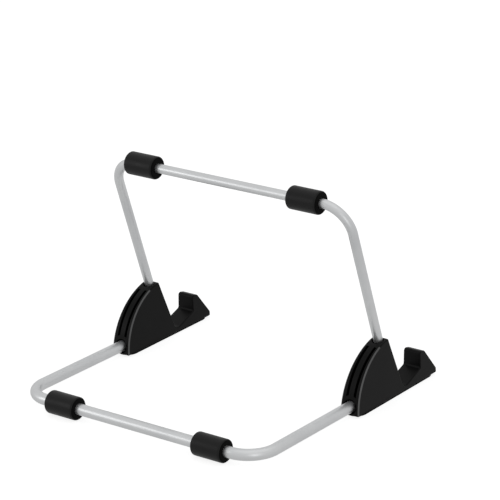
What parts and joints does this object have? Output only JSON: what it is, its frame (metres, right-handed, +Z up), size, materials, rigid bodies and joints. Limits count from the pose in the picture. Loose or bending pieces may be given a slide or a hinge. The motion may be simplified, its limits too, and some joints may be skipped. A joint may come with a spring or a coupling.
{
  "type": "tablet stand",
  "caption": "Knock-down tablet stand: bent aluminium bars plug into moulded brackets, whose notches hold the tablet's edge while rubber sleeves prop its back.",
  "frame": {"origin": "on the table, under the middle of the stand's box", "axes": "+X to the user's right, +Y away from the screen side, +Z up from the table"},
  "size_m": [0.162, 0.155, 0.1171],
  "materials": {
    "bar_aluminium": "satin, bead-blasted and anodised",
    "bracket_plastic": "black, fine moulded texture",
    "sleeve_rubber": "black, satin",
    "pad_rubber": "black, matt"
  },
  "bodies": {
    "brackets": {"left_bracket": "bracket_plastic", "right_bracket": "bracket_plastic", "left_foot_pad": "pad_rubber", "right_foot_pad": "pad_rubber"},
    "upper_frame": {"upper_bar": "bar_aluminium", "upper_left_sleeve": "sleeve_rubber", "upper_right_sleeve": "sleeve_rubber"},
    "lower_frame": {"lower_bar": "bar_aluminium", "lower_left_sleeve": "sleeve_rubber", "lower_right_sleeve": "sleeve_rubber"}
  },
  "joints": [
    {"name": "upper_frame_pull", "type": "slide", "parent": "brackets", "child": "upper_frame", "axis": [0, 0.3007, 0.9537], "range_m": [0, 0.022]},
    {"name": "lower_frame_pull", "type": "slide", "parent": "brackets", "child": "lower_frame", "axis": [0, 0.9999, 0.0105], "range_m": [0, 0.022]}
  ]
}
